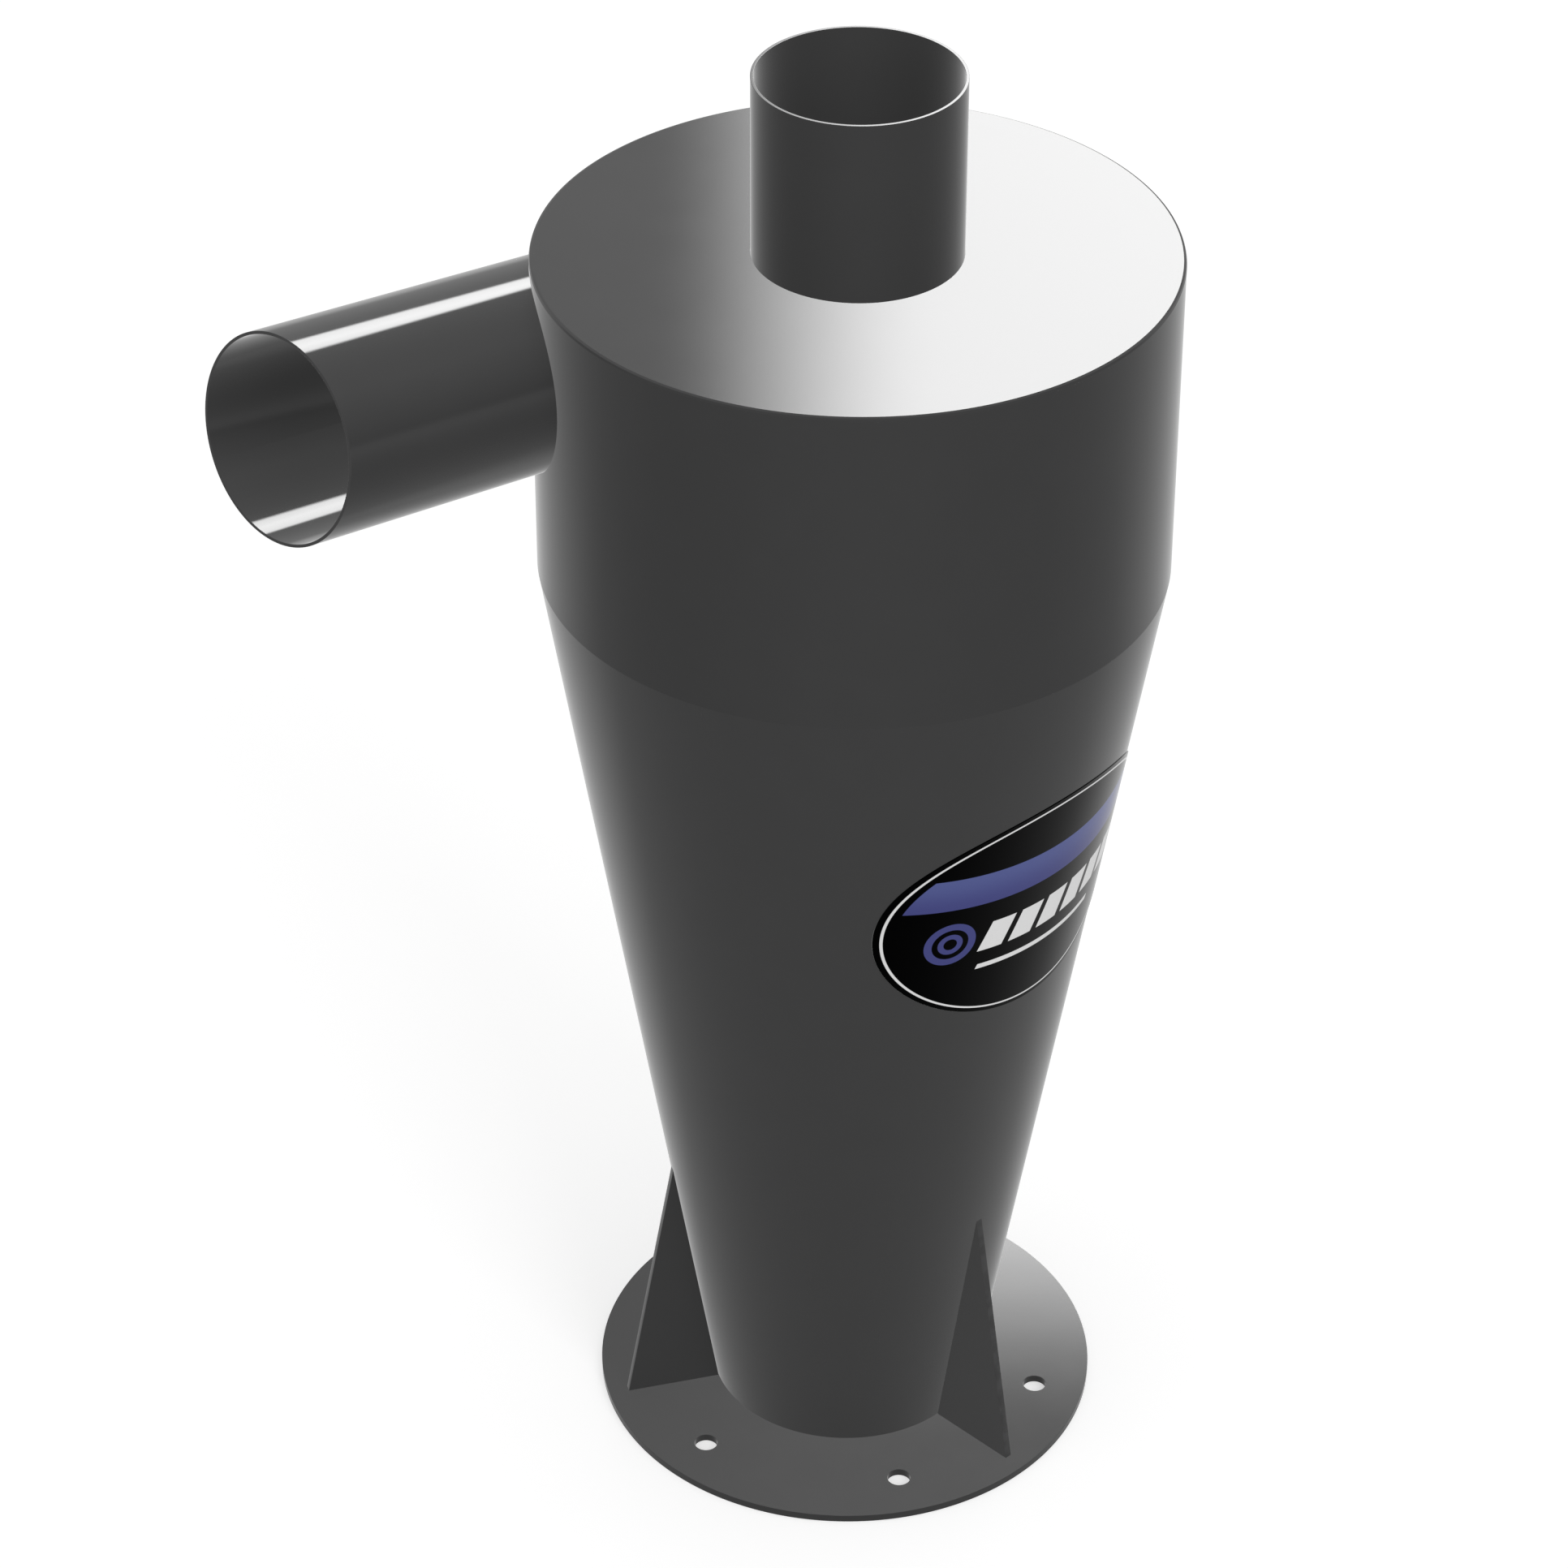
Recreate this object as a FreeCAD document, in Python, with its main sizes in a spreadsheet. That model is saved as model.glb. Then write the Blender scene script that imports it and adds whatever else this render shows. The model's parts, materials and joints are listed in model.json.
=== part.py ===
import FreeCAD, Part
import math
import os
import Sketcher
from FreeCAD import Placement, Rotation, Vector

# Cyclone dust collector, welded from sheet metal. The origin is the centre of the base flange's
# underside and +Z runs up the cyclone's axis. The inlet duct opens towards -X, and the label faces -Y.
# All lengths are in millimetres and all angles in degrees.

doc = FreeCAD.newDocument("cyclone_dust_collector")

# Driving sizes: name, value, meaning
SIZES = [
    ("flange_dia", 261, "base flange, outside"),
    ("flange_thick", 4, "base flange plate"),
    ("bolt_count", 6, "holes in the base flange"),
    ("bolt_hole_dia", 12, "hole for a 10 mm bolt"),
    ("bolt_edge", 26, "flange edge to hole centre"),
    ("cone_foot_dia", 141, "cone, outside at its foot"),
    ("cone_height", 507, "cone, foot to seam"),
    ("shell_wall", 1.5, "sheet of the cone and the barrel"),
    ("barrel_dia", 306, "barrel, outside"),
    ("barrel_height", 163.5, "barrel, seam to the underside of the lid"),
    ("lid_thick", 2, "lid plate"),
    ("lid_edge", 1.5, "rounding of the top edge of the lid"),
    ("duct_wall", 1.5, "sheet of both ducts"),
    ("outlet_dia", 100, "outlet duct, outside"),
    ("outlet_above", 90.5, "outlet duct, top of the lid to its rim"),
    ("outlet_below", 134.5, "vortex finder, underside of the lid to its lower end"),
    ("outlet_gap", 0.1, "outlet duct to the edge of its hole in the lid"),
    ("inlet_dia", 100, "inlet duct, outside"),
    ("inlet_length", 272, "inlet duct, tangent point to mouth"),
    ("inlet_tilt", 9, "rise of the inlet duct from the barrel to its mouth"),
    ("inlet_inset", 0.25, "outermost line of the inlet duct to the tangent of the barrel"),
    ("inlet_below_lid", 4.4, "underside of the lid to the top of the inlet duct at the barrel"),
    ("gusset_thick", 4, "gusset plate"),
    ("gusset_height", 145, "gusset, flange to tip"),
    ("gusset_edge", 10.5, "flange edge to gusset toe"),
    ("gusset_gap", 0.1, "inner edge of a gusset to the cone"),
    ("gusset_turn", -90, "place of the front gusset round the axis"),
    ("label_width", 194, "label, round the cone"),
    ("label_height", 129.6, "label, along the slant of the cone"),
    ("label_thick", 0.3, "label film"),
    ("label_gap", 0.3, "cone to the underside of the label"),
    ("label_above", 367.7, "middle of the label above the foot of the cone"),
    ("label_turn", -89, "place of the label round the axis"),
]

sheet = doc.addObject("Spreadsheet::Sheet", "sizes")
for row, (alias, number, meaning) in enumerate(SIZES, start=1):
    sheet.set("A%d" % row, meaning)
    sheet.set("B%d" % row, str(number))
    sheet.setAlias("B%d" % row, alias)
doc.recompute()

# Gussets, at equal angles round the axis from the front one
GUSSETS = ["gusset_front", "gusset_right", "gusset_left"]

# Points that the label's outline passes through, and how near its film is worked out
LABEL_POINTS = 24
LABEL_TOLERANCE = 0.0001

# Lengths nearer than this are the same
SAME = 0.001

# Places and sizes that several pieces share, worked out from the driving sizes
SEAM = "(sizes.flange_thick + sizes.cone_height)"
LID_UNDERSIDE = "(" + SEAM + " + sizes.barrel_height)"
LID_TOP = "(" + LID_UNDERSIDE + " + sizes.lid_thick)"
FLANGE_RADIUS = "(sizes.flange_dia / 2)"
FOOT_RADIUS = "(sizes.cone_foot_dia / 2)"
BARREL_RADIUS = "(sizes.barrel_dia / 2)"
TAPER = "((" + BARREL_RADIUS + " - " + FOOT_RADIUS + ") / sizes.cone_height)"
CONE_WALL = "(sizes.shell_wall * sqrt(1 + " + TAPER + " ^ 2))"
DUST_HOLE_RADIUS = "(" + FOOT_RADIUS + " - " + CONE_WALL + ")"
OUTLET_RADIUS = "(sizes.outlet_dia / 2)"
INLET_RADIUS = "(sizes.inlet_dia / 2)"
INLET_BORE_RADIUS = "(" + INLET_RADIUS + " - sizes.duct_wall)"
INLET_Y = "(" + BARREL_RADIUS + " - " + INLET_RADIUS + " - sizes.inlet_inset)"
INLET_RUN = "sqrt(" + BARREL_RADIUS + " ^ 2 - " + INLET_Y + " ^ 2)"
INLET_Z = (
    "(" + LID_UNDERSIDE + " - sizes.inlet_below_lid - " + INLET_RADIUS + " / cos(sizes.inlet_tilt)"
    " - " + INLET_RUN + " * tan(sizes.inlet_tilt))"
)


def size(expression):
    """The present value of an expression on the sizes."""
    return float(sheet.evalExpression(expression))


def new_body(label):
    """An empty body whose label names its piece."""
    body = doc.addObject("PartDesign::Body", label)
    body.Label = label
    return body


def new_sketch(body, name, plane):
    """A sketch on one of the body's own origin planes."""
    sketch = body.newObject("Sketcher::SketchObject", name)
    face = [item for item in body.Origin.OriginFeatures if item.Role == plane][0]
    sketch.AttachmentSupport = [(face, "")]
    sketch.MapMode = "FlatFace"
    return sketch


def tie(sketch, name, kind, geometry, expression):
    """A named dimension of a sketch, tied to the sizes."""
    index = sketch.addConstraint(Sketcher.Constraint(kind, *geometry, size(expression)))
    sketch.renameConstraint(index, name)
    sketch.setExpression("Constraints." + name, expression)


def draw_outline(sketch, corners):
    """A closed outline of straight lines through corners given as (name, across, up)."""
    points = [Vector(size(across), size(up), 0) for name, across, up in corners]
    count = len(points)
    for index, point in enumerate(points):
        sketch.addGeometry(Part.LineSegment(point, points[(index + 1) % count]))
    for index in range(count):
        sketch.addConstraint(Sketcher.Constraint("Coincident", index, 2, (index + 1) % count, 1))
    for index, (name, across, up) in enumerate(corners):
        tie(sketch, name + "_across", "DistanceX", (-1, 1, index, 1), across)
        tie(sketch, name + "_up", "DistanceY", (-1, 1, index, 1), up)


def draw_circle(sketch, name, radius, across=None):
    """A circle of a tied radius, centred on the sketch's origin or beside it."""
    centre = Vector(0 if across is None else size(across), 0, 0)
    index = sketch.addGeometry(Part.Circle(centre, Vector(0, 0, 1), size(radius)))
    tie(sketch, name + "_radius", "Radius", (index,), radius)
    if across is None:
        sketch.addConstraint(Sketcher.Constraint("Coincident", index, 3, -1, 1))
        return
    tie(sketch, name + "_across", "DistanceX", (-1, 1, index, 3), across)
    sketch.addConstraint(Sketcher.Constraint("PointOnObject", index, 3, -1))


def new_round_body(label, corners):
    """A body turned from its section, which lies to the right of the upright axis."""
    body = new_body(label)
    section = new_sketch(body, label + "_section", "XZ_Plane")
    draw_outline(section, corners)
    turned = body.newObject("PartDesign::Revolution", label + "_turned")
    turned.Profile = section
    turned.ReferenceAxis = (section, ["V_Axis"])
    turned.Angle = 360
    return body


def ring_section(inner, outer, low, high):
    """The four corners of a straight ring's section."""
    return [
        ("low_inner", inner, low),
        ("low_outer", outer, low),
        ("high_outer", outer, high),
        ("high_inner", inner, high),
    ]


def make_base_flange():
    """Flat ring with the dust hole and a circle of bolt holes."""
    body = new_body("base_flange")
    ring = new_sketch(body, "flange_outline", "XY_Plane")
    draw_circle(ring, "rim", FLANGE_RADIUS)
    draw_circle(ring, "dust_hole", DUST_HOLE_RADIUS)
    plate = body.newObject("PartDesign::Pad", "flange_plate")
    plate.Profile = ring
    plate.setExpression("Length", "sizes.flange_thick")
    hole = new_sketch(body, "bolt_hole_outline", "XY_Plane")
    draw_circle(hole, "hole", "sizes.bolt_hole_dia / 2", FLANGE_RADIUS + " - sizes.bolt_edge")
    drilled = body.newObject("PartDesign::Pocket", "bolt_hole")
    drilled.Profile = hole
    drilled.Type = "ThroughAll"
    drilled.Reversed = True
    circle = body.newObject("PartDesign::PolarPattern", "bolt_circle")
    circle.Originals = [drilled]
    circle.Axis = (hole, ["N_Axis"])
    circle.Angle = 360
    circle.setExpression("Occurrences", "sizes.bolt_count")
    body.Tip = circle
    return body


def make_cone():
    """Rolled cone of even sheet, cut level at its foot and at the seam."""
    seam_inner = BARREL_RADIUS + " - " + CONE_WALL
    corners = [
        ("foot_inner", DUST_HOLE_RADIUS, "sizes.flange_thick"),
        ("foot_outer", FOOT_RADIUS, "sizes.flange_thick"),
        ("seam_outer", BARREL_RADIUS, SEAM),
        ("seam_inner", seam_inner, SEAM),
    ]
    return new_round_body("cone", corners)


def place_on_inlet_axis(sketch):
    """Move a sketch on the YZ plane to the inlet's tangent point, square to the inlet's axis."""
    sketch.AttachmentOffset = Placement(Vector(0, 0, 0), Rotation(Vector(1, 0, 0), 1))
    sketch.setExpression("AttachmentOffset.Base.x", INLET_Y)
    sketch.setExpression("AttachmentOffset.Base.y", INLET_Z)
    sketch.setExpression("AttachmentOffset.Rotation.Angle", "sizes.inlet_tilt")


def make_barrel():
    """Rolled cylinder with the opening that the inlet duct's bore runs into."""
    inner = BARREL_RADIUS + " - sizes.shell_wall"
    body = new_round_body("barrel", ring_section(inner, BARREL_RADIUS, SEAM, LID_UNDERSIDE))
    bore = new_sketch(body, "inlet_opening_outline", "YZ_Plane")
    place_on_inlet_axis(bore)
    draw_circle(bore, "bore", INLET_BORE_RADIUS)
    opening = body.newObject("PartDesign::Pocket", "inlet_opening")
    opening.Profile = bore
    opening.Type = "ThroughAll"
    body.Tip = opening
    return body


def make_inlet_tube():
    """Straight duct along the sloping inlet axis, coped to the outside of the barrel."""
    body = new_body("inlet_tube")
    ring = new_sketch(body, "inlet_outline", "YZ_Plane")
    place_on_inlet_axis(ring)
    draw_circle(ring, "outside", INLET_RADIUS)
    draw_circle(ring, "bore", INLET_BORE_RADIUS)
    duct = body.newObject("PartDesign::Pad", "inlet_duct")
    duct.Profile = ring
    duct.Reversed = True
    duct.setExpression("Length", "sizes.inlet_length")
    coping = new_sketch(body, "coping_outline", "XY_Plane")
    draw_circle(coping, "barrel", BARREL_RADIUS)
    coped = body.newObject("PartDesign::Pocket", "inlet_coping")
    coped.Profile = coping
    coped.Type = "ThroughAll"
    coped.Reversed = True
    body.Tip = coped
    return body


def make_lid_plate():
    """Flat disc with the outlet's hole and a rounded top edge."""
    hole_radius = OUTLET_RADIUS + " + sizes.outlet_gap"
    corners = ring_section(hole_radius, BARREL_RADIUS, LID_UNDERSIDE, LID_TOP)
    body = new_round_body("lid_plate", corners)
    doc.recompute()
    disc = body.Tip
    rim = [
        "Edge%d" % number
        for number, edge in enumerate(disc.Shape.Edges, start=1)
        if edge.Curve.TypeId == "Part::GeomCircle"
        and abs(edge.Curve.Radius - size(BARREL_RADIUS)) < SAME
        and abs(edge.Curve.Center.z - size(LID_TOP)) < SAME
    ]
    rounded = body.newObject("PartDesign::Fillet", "lid_rounding")
    rounded.Base = (disc, rim)
    rounded.setExpression("Radius", "min(sizes.lid_edge; 0.9 * sizes.lid_thick)")
    body.Tip = rounded
    return body


def make_outlet_tube():
    """Straight duct through the lid, from the vortex finder's lower end to the rim."""
    bore = OUTLET_RADIUS + " - sizes.duct_wall"
    low = LID_UNDERSIDE + " - sizes.outlet_below"
    high = LID_TOP + " + sizes.outlet_above"
    return new_round_body("outlet_tube", ring_section(bore, OUTLET_RADIUS, low, high))


def make_gusset(label, place):
    """Triangular plate on the flange, its inner edge along the cone, at one of the equal places."""
    foot = FOOT_RADIUS + " + sizes.gusset_gap"
    tip_across = foot + " + " + TAPER + " * sizes.gusset_height"
    corners = [
        ("heel", foot, "sizes.flange_thick"),
        ("toe", FLANGE_RADIUS + " - sizes.gusset_edge", "sizes.flange_thick"),
        ("tip", tip_across, "sizes.flange_thick + sizes.gusset_height"),
    ]
    body = new_body(label)
    outline = new_sketch(body, label + "_outline", "XZ_Plane")
    draw_outline(outline, corners)
    plate = body.newObject("PartDesign::Pad", label + "_plate")
    plate.Profile = outline
    plate.SideType = "Symmetric"
    plate.setExpression("Length", "sizes.gusset_thick")
    body.Placement = Placement(Vector(0, 0, 0), Rotation(Vector(0, 0, 1), 1))
    turn = "sizes.gusset_turn + 360 * %d / %d" % (place, len(GUSSETS))
    body.setExpression("Placement.Rotation.Angle", turn)
    return body


def make_label():
    """Oval film wrapped on the cone: an ellipse drawn on the cone's flat pattern, then rolled up."""
    half_angle = math.atan(size(TAPER))
    outward = sheet.label_gap / math.cos(half_angle)
    foot = size(FOOT_RADIUS) + outward
    seam = size(BARREL_RADIUS) + outward
    cone = Part.makeCone(foot, seam, sheet.cone_height, Vector(0, 0, sheet.flange_thick))
    side = [face.Surface for face in cone.Faces if face.Surface.TypeId == "Part::GeomCone"][0]
    foot_slant = foot / math.sin(half_angle)
    middle_slant = foot_slant + sheet.label_above / math.cos(half_angle)
    middle_turn = math.radians(sheet.label_turn % 360)
    shares = [step / LABEL_POINTS for step in range(LABEL_POINTS + 1)]
    outline = []
    for share in shares[:-1]:
        across = sheet.label_width / 2 * math.cos(2 * math.pi * share)
        along = middle_slant + sheet.label_height / 2 * math.sin(2 * math.pi * share)
        turn = middle_turn + math.atan2(across, along) / math.sin(half_angle)
        outline.append(FreeCAD.Base.Vector2d(turn, math.hypot(across, along) - foot_slant))
    curve = Part.Geom2d.BSplineCurve2d()
    curve.interpolate(Points=outline, PeriodicFlag=True, Parameters=shares)
    skin = Part.Face(side, Part.Wire([curve.toShape(side)]))
    skin.validate()
    film = doc.addObject("Part::Feature", "label")
    film.Label = "label"
    film.Shape = skin.makeOffsetShape(sheet.label_thick, LABEL_TOLERANCE, fill=True)
    film.Placement = Placement()
    return film


pieces = [
    make_base_flange(),
    make_cone(),
    make_barrel(),
    make_lid_plate(),
    make_outlet_tube(),
    make_inlet_tube(),
    make_label(),
]
for place, name in enumerate(GUSSETS):
    pieces.append(make_gusset(name, place))
doc.recompute()

for item in doc.Objects:
    if "Invalid" in item.State or "Error" in item.State:
        raise RuntimeError("%s did not build: %s" % (item.Label, item.State))
for piece in pieces:
    if piece.Shape.isNull() or not piece.Shape.isValid() or len(piece.Shape.Solids) != 1:
        raise RuntimeError("%s is not one valid solid" % piece.Label)

os.makedirs("parts", exist_ok=True)
for piece in pieces:
    piece.Shape.exportStep("parts/%s.step" % piece.Label)
    print("%-14s %10.1f mm3" % (piece.Label, piece.Shape.Volume))
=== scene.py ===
import json
import math

import bmesh
import bpy
import numpy as np
from mathutils import Euler, Matrix, Vector


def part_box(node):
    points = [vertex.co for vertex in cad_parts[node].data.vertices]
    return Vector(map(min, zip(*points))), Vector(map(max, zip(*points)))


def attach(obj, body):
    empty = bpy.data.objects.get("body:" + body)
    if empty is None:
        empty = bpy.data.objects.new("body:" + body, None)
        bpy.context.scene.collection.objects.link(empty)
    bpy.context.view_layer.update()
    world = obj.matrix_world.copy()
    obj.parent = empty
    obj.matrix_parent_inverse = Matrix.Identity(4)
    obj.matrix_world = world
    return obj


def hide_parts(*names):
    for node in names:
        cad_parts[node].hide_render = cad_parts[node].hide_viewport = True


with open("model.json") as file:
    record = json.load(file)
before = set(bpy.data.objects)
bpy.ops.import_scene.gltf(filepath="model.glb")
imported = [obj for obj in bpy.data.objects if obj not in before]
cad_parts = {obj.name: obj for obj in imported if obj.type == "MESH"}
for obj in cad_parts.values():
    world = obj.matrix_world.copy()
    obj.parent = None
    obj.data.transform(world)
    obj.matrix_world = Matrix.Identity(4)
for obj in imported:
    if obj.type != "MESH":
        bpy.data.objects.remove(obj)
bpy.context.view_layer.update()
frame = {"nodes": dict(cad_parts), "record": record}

# Cyclone dust collector of black coated sheet metal. Lengths are in metres, heights are above the
# underside of the base flange, and the axis of the cyclone is the upright axis of the frame.

# How many steps are drawn round a full circle, round half of the inlet's bore and along a side of one of
# the flange's sectors, how many rings the label's film has, and the steps of a rounded corner
AROUND = 480
OPENING_STEPS = 64
SIDE_STEPS = 24
FILM_STEPS = 24
ARC_STEPS = 4

# Rounding that the coat gives a cut edge, and the strip of flat sheet drawn beside it
SOFT = 0.0001
GUARD = 0.0001

# Points nearer than SAME are one point, and corners nearer than ON_LEVEL to a height lie on it
SAME = 0.000001
ON_LEVEL = 10 * SAME

# Marks the far end of a section, whose own place is worked out later
FAR_END = 1.0

# Millimetres in a metre, for the measures in the record
PER_METRE = 1000

# Corners sharper than this stay crisp, and on the lid the flat strips of its broken edge do too
CRISP = math.radians(35)
CRISP_LID = math.radians(15)


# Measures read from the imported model


def node_points(node):
    """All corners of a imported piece, as rows of x, y and z."""
    corners = frame["nodes"][node].data.vertices
    points = np.empty(len(corners) * 3)
    corners.foreach_get("co", points)
    return points.reshape(-1, 3)


def radii_at(node, height):
    """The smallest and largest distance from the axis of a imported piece's corners at one height."""
    points = node_points(node)
    level = np.abs(points[:, 2] - height) < ON_LEVEL
    radii = np.hypot(points[level, 0], points[level, 1])
    return radii.min(), radii.max()


def mount(name):
    """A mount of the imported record, by its name."""
    return [entry for entry in frame["record"]["mounts"] if entry["name"] == name][0]


def mount_size(name, measure):
    """One of a mount's measures, in metres."""
    return mount(name)["dims"][measure] / PER_METRE


FLANGE_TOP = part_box("base_flange")[1].z
FLANGE_INNER, FLANGE_OUTER = radii_at("base_flange", FLANGE_TOP)
BOLT_COUNT = mount("base_bolts")["dims"]["count"]
BOLT_CIRCLE = mount_size("base_bolts", "pcd_mm") / 2
BOLT_HOLE = mount_size("base_bolts", "hole_r_mm")

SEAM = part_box("barrel")[0].z
FOOT_INNER, FOOT_OUTER = radii_at("cone", FLANGE_TOP)
SEAM_INNER, BARREL_OUTER = radii_at("cone", SEAM)
BARREL_INNER = radii_at("barrel", SEAM)[0]
TAPER = math.atan2(BARREL_OUTER - FOOT_OUTER, SEAM - FLANGE_TOP)
APEX = FLANGE_TOP - FOOT_OUTER / math.tan(TAPER)

LID_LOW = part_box("lid_plate")[0].z
LID_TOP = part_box("lid_plate")[1].z
LID_HOLE, LID_FLAT = radii_at("lid_plate", LID_TOP)

OUTLET_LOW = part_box("outlet_tube")[0].z
OUTLET_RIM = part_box("outlet_tube")[1].z
OUTLET_BORE, OUTLET_OUTER = radii_at("outlet_tube", OUTLET_RIM)

# The inlet's mouth, the way it faces, and the two directions across it
INLET_MOUTH = np.array(mount("inlet_duct")["pos_m"])
INLET_WAY = np.array(mount("inlet_duct")["axis"])
INLET_SIDE = np.array([0.0, 1.0, 0.0])
INLET_UP = -np.cross(INLET_WAY, INLET_SIDE)
INLET_BORE = mount_size("inlet_duct", "r_mm")
INLET_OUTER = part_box("inlet_tube")[1].y - INLET_MOUTH[1]


# Surfaces as grids of points


def unit(vectors):
    """Vectors of length one, the same way."""
    return vectors / np.linalg.norm(vectors, axis=-1, keepdims=True)


def rounded(corners):
    """A section with its corners rounded, as rows of across, up and edge, where edge is 1 on a rounding.

    Each corner is given as across, up and radius. Its arc has its centre on the corner's bisector, as far
    from the corner as the radius over the sine of half the angle, and swings from one side to the other in
    equal steps. A guard point lies beside each end of the arc. A corner of no radius stays as it is.
    """
    corners = np.array(corners)
    places = corners[:, :2]
    rows = []
    sides = zip(np.roll(places, 1, 0), places, np.roll(places, -1, 0), corners[:, 2])
    for before, here, after, radius in sides:
        if radius == 0:
            rows.append([[*here, 0]])
            continue
        back, on = unit(before - here), unit(after - here)
        half = math.acos(back @ on) / 2
        reach = radius / math.tan(half)
        centre = here + unit(back + on) * radius / math.sin(half)
        sweep = math.pi - 2 * half
        share = np.linspace(0, 1, ARC_STEPS + 1)[:, None]
        from_start = np.sin((1 - share) * sweep) * (here + back * reach - centre)
        from_end = np.sin(share * sweep) * (here + on * reach - centre)
        arc = centre + (from_start + from_end) / math.sin(sweep)
        rows.append([[*(here + back * (reach + GUARD)), 0]])
        rows.append(np.column_stack([arc, np.ones(len(arc))]))
        rows.append([[*(here + on * (reach + GUARD)), 0]])
    return np.concatenate(rows)


def full_turn(steps):
    """Equal angles round a full circle, as a column."""
    return np.linspace(0, 2 * math.pi, steps, endpoint=False)[:, None]


def polar(turn, radius, height):
    """Points at angles round the axis, distances from it and heights."""
    parts = np.broadcast_arrays(radius * np.cos(turn), radius * np.sin(turn), height)
    return np.stack(parts, axis=-1)


def turned(section, ring=True):
    """A section carried round the upright axis: across becomes the distance from it, and up the height."""
    across, up, edge = section.T
    points = polar(full_turn(AROUND), across, up)
    return {"points": points, "edge": edge, "round": True, "ring": ring}


def faces_of(rows, columns, wrap_rows, wrap_columns):
    """The corner numbers of the quads between the points of a grid, whose ends may join."""
    row = np.arange(rows if wrap_rows else rows - 1)[:, None]
    column = np.arange(columns if wrap_columns else columns - 1)[None, :]
    next_row, next_column = (row + 1) % rows, (column + 1) % columns
    quads = [row * columns + column, next_row * columns + column]
    quads += [next_row * columns + next_column, row * columns + next_column]
    return np.stack(np.broadcast_arrays(*quads), axis=-1).reshape(-1, 4)


def make_piece(name, node, finish, grids, crisp=CRISP):
    """A piece of the object made of grids of points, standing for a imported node.

    Each grid holds its points by row and column, whether its rows go round to the first one, whether its
    columns do, how much of each point is edge, and its place on the flat pattern if it has one. Points that
    fall together are merged, which joins the grids and closes the poles.
    """
    points, faces, edges, flats = [], [], [], []
    first = 0
    for grid in grids:
        rows, columns = grid["points"].shape[:2]
        points.append(grid["points"].reshape(-1, 3))
        edges.append(np.broadcast_to(grid.get("edge", 0.0), (rows, columns)).ravel())
        flats.append(np.broadcast_to(grid.get("flat", 0.0), (rows, columns, 2)).reshape(-1, 2))
        faces.append(first + faces_of(rows, columns, grid.get("round", False), grid.get("ring", False)))
        first += rows * columns
    faces = np.concatenate(faces)
    mesh = bpy.data.meshes.new(name)
    mesh.from_pydata(np.concatenate(points), [], faces)
    mesh.attributes.new("edge", "FLOAT", "POINT").data.foreach_set("value", np.concatenate(edges))
    if "flat" in grids[0]:
        pattern = np.concatenate(flats)[faces.ravel()]
        mesh.uv_layers.new(name="flat_pattern").data.foreach_set("uv", pattern.ravel())
    shape = bmesh.new()
    shape.from_mesh(mesh)
    bmesh.ops.remove_doubles(shape, verts=shape.verts, dist=SAME)
    bmesh.ops.recalc_face_normals(shape, faces=shape.faces)
    shape.to_mesh(mesh)
    shape.free()
    mesh.shade_smooth()
    mesh.set_sharp_from_angle(angle=crisp)
    mesh.materials.append(finish)
    piece = bpy.data.objects.new(name, mesh)
    piece.visible_glossy = False
    bpy.context.scene.collection.objects.link(piece)
    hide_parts(node)
    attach(piece, "root")
    return piece


# Finishes


class Value:
    """A number that changes over a surface. Arithmetic on it adds Math nodes to its finish."""

    def __init__(self, nodes, socket):
        self.nodes = nodes
        self.socket = socket

    def output(self, name):
        """Another output of the node that this one comes from."""
        return Value(self.nodes, self.socket.node.outputs[name])

    def math(self, operation, *numbers):
        """The result of a Math node on numbers, which may be plain or changing."""
        return self.nodes.add("ShaderNodeMath", {"operation": operation}, dict(enumerate(numbers)))

    def __add__(self, other):
        return self.math("ADD", self, other)

    def __sub__(self, other):
        return self.math("SUBTRACT", self, other)

    def __rsub__(self, other):
        return self.math("SUBTRACT", other, self)

    def __mul__(self, other):
        return self.math("MULTIPLY", self, other)

    def __truediv__(self, other):
        return self.math("DIVIDE", self, other)

    def __pow__(self, other):
        return self.math("POWER", self, other)

    __radd__ = __add__
    __rmul__ = __mul__


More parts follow.
